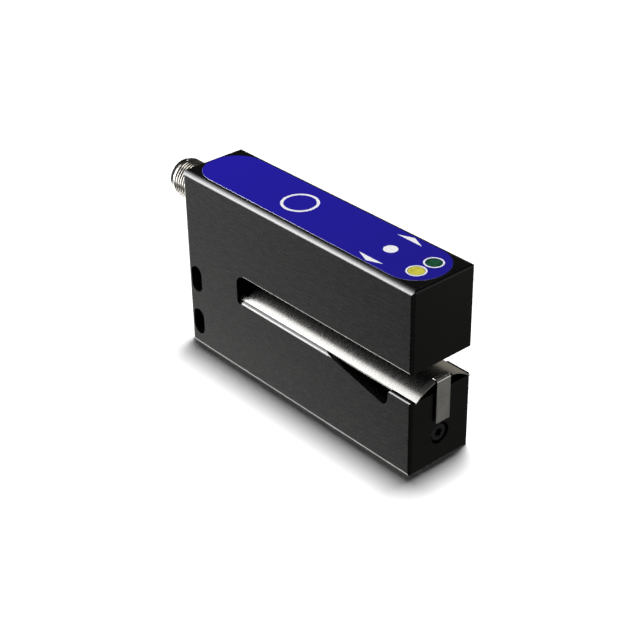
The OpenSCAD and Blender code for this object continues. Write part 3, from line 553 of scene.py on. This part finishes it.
KEY_X, KEY_R, KEY_LINE = -8.4, 5.5, 0.86
BEAM_X, DOT_R = 27.7, 2.0
POINTER_BACK, POINTER_FRONT, POINTER_FOOT, POINTER_TIP = 4.6, 4.5, 6.9, 8.8
LIGHT_X, LIGHT_Y, LIGHT_RING_R, LIGHT_RING_IN = 40.4, 3.15, 2.8, 2.33
print_shape("print_key_ring", [(circle_points(KEY_X, 0, KEY_R), circle_points(KEY_X, 0, KEY_R - KEY_LINE))])
print_shape("print_beam_dot", [(circle_points(BEAM_X, 0, DOT_R), None)])
print_shape("print_beam_pointers", [([(BEAM_X - POINTER_BACK, s * POINTER_FOOT),
                                      (BEAM_X + POINTER_FRONT, s * POINTER_FOOT),
                                      (BEAM_X, s * POINTER_TIP)], None) for s in (-1, 1)])
print_shape("print_light_rings", [(circle_points(LIGHT_X, s * LIGHT_Y, LIGHT_RING_R),
                                   circle_points(LIGHT_X, s * LIGHT_Y, LIGHT_RING_IN)) for s in (-1, 1)])

# Guide strip: spring steel sheet, ground across its width, sprung into the seat of the lower jaw with
# its two long edges down. Its tab is bent down over the jaw's front end.
strip_steel = finish("strip_steel", (0.72, 0.71, 0.68), 0.2, metal=1.0)
tones(strip_steel, grain(strip_steel, 0.2, (1, 40, 40)), (0.69, 0.68, 0.65), (0.85, 0.84, 0.81))
polish(strip_steel, grain(strip_steel, 0.25, (1, 8, 8)), 0.24, 0.305)
relief(strip_steel, grain(strip_steel, 0.22, (1, 6, 6)), 0.0007)
dress(strip_steel, "guide_strip")

# Studio: a pale table with a lamp of its own, a tall window low on the left with softer lights above it,
# and one overhead. The room is dim but for a few pale parts, so that the black stays black.
floor_paint = finish("floor_paint", (0.88, 0.88, 0.88), 0.9, gloss=0.0)
far_off = floor_paint.node_tree.nodes.new("ShaderNodeVectorMath")
far_off.operation = "LENGTH"
floor_paint.node_tree.links.new(on_piece(floor_paint, (1, 1, 1)), far_off.inputs[0])
# The table glows with painted light that grows with the distance from its middle, in metres, like a
# backdrop
drive(floor_paint, "Emission Strength", spread(floor_paint, far_off.outputs["Value"], (0.2, 0.6), (0, 1)))
bpy.ops.mesh.primitive_plane_add(size=6.0)
floor = bpy.context.object
floor.name = "floor"
floor.data.materials.append(floor_paint)
floor.visible_glossy = False
floor.visible_diffuse = False
floor.visible_shadow = False

scene = bpy.context.scene
scene.view_settings.view_transform = "Standard"
world = bpy.data.worlds.new("room")
scene.world = world
world.use_nodes = True
room = world.node_tree
sight = room.nodes.new("ShaderNodeTexCoord")
ROOM_DIM = (0.026, 0.026, 0.025)
# Each bright part of the room: its direction, the cosines where it starts and is full, and its colour
ROOM_PARTS = (
    ((-0.95, -0.2, -0.25), 0.7, 0.95, (0.42, 0.44, 0.42)),
    ((-0.6, 0.1, -0.8), 0.8, 0.97, (4.6, 4.6, 4.5)),
    ((-0.6, 0.8, -0.1), 0.9, 0.97, (0.19, 0.175, 0.15)),
    ((0.645, 0.2, -0.6), 0.3, 0.95, (0.085, 0.083, 0.077)),
    ((0.68, -0.68, -0.2), 0.95, 0.985, (0.9, 0.9, 0.88)),
    ((0.66, 0.74, -0.12), 0.92, 0.99, (0.7, 0.7, 0.68)),
)
glow = None
for direction, start, full, colour in ROOM_PARTS:
    facing = room.nodes.new("ShaderNodeVectorMath")
    facing.operation = "DOT_PRODUCT"
    facing.inputs[1].default_value = Vector(direction).normalized()
    room.links.new(sight.outputs["Generated"], facing.inputs[0])
    amount = room.nodes.new("ShaderNodeMapRange")
    amount.interpolation_type = "SMOOTHSTEP"
    amount.inputs["From Min"].default_value = start
    amount.inputs["From Max"].default_value = full
    room.links.new(facing.outputs["Value"], amount.inputs["Value"])
    add = room.nodes.new("ShaderNodeMix")
    add.data_type = "RGBA"
    add.blend_type = "ADD"
    room.links.new(amount.outputs["Result"], add.inputs["Factor"])
    if glow is None:
        add.inputs["A"].default_value = (*ROOM_DIM, 1.0)
    else:
        room.links.new(glow, add.inputs["A"])
    add.inputs["B"].default_value = (*colour, 1.0)
    glow = add.outputs["Result"]
room.links.new(glow, room.nodes["Background"].inputs["Color"])


def soft_light(name, place, aim, size, power, on_table=False):
    """A soft light, wide and high as given, that shines on the table alone or on all but the table."""
    lamp = bpy.data.lights.new(name, "AREA")
    lamp.shape = "RECTANGLE"
    lamp.size, lamp.size_y = size
    lamp.energy = power
    holder = bpy.data.objects.new(name, lamp)
    scene.collection.objects.link(holder)
    holder.location = place
    holder.rotation_euler = (Vector(aim) - Vector(place)).to_track_quat("-Z", "Y").to_euler()
    reach = bpy.data.collections.new(name + "_reach")
    reach.objects.link(floor)
    reach.collection_objects[0].light_linking.link_state = "INCLUDE" if on_table else "EXCLUDE"
    holder.light_linking.receiver_collection = reach
    return holder


table_light = soft_light("table_light", (-0.09, 0.157, 1.2), (-0.09, 0.157, 0), (0.25, 0.28), 23.0,
                         on_table=True)
# The plug at the rear leaves no shadow on the photograph's table
no_shadow = bpy.data.collections.new("no_shadow")
for item in (shell_piece, thread_piece):
    no_shadow.objects.link(item)
for node in ("connector_shell", "connector_insert", "contact_pins"):
    no_shadow.objects.link(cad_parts[node])
for member in no_shadow.collection_objects:
    member.light_linking.link_state = "EXCLUDE"
table_light.light_linking.blocker_collection = no_shadow
MIDDLE = (0, 0, 0.03)
soft_light("window_light", (-0.366, -0.422, 0.055), MIDDLE, (0.3, 0.33), 1.75)
soft_light("upper_window_light", (-0.371, -0.334, 0.284), MIDDLE, (0.3, 0.19), 0.66)
soft_light("blind_light", (-0.349, -0.201, 0.419), MIDDLE, (0.36, 0.18), 0.27)
soft_light("top_light", (0.02, 0.0, 0.6), (0, 0, 0), (0.4, 0.4), 2.9)

# Camera: at the photograph's viewing angle, above the fork's open end on the near side, with a short
# telephoto lens and the photograph's slight roll.
AZIMUTH, ELEVATION, ROLL = math.radians(49.09), math.radians(31.37), math.radians(-0.86)
DISTANCE, SIDE, RISE, LENS = 0.4244, 0.00048, 0.00135, 84.4
AIM = Vector((0, 0, 0.02465))
back = Vector((math.sin(AZIMUTH) * math.cos(ELEVATION), -math.cos(AZIMUTH) * math.cos(ELEVATION),
               math.sin(ELEVATION)))
level_right = Vector((math.cos(AZIMUTH), math.sin(AZIMUTH), 0))
level_up = back.cross(level_right)
right = math.cos(ROLL) * level_right + math.sin(ROLL) * level_up
up = back.cross(right)
camera = bpy.data.objects.new("camera", bpy.data.cameras.new("camera"))
scene.collection.objects.link(camera)
camera.data.sensor_width = 36.0
camera.data.lens = LENS
camera.data.clip_start = 0.01
camera.matrix_world = Matrix.Translation(AIM - SIDE * right - RISE * up + DISTANCE * back) @ Matrix(
    (right, up, back)).transposed().to_4x4()
scene.camera = camera
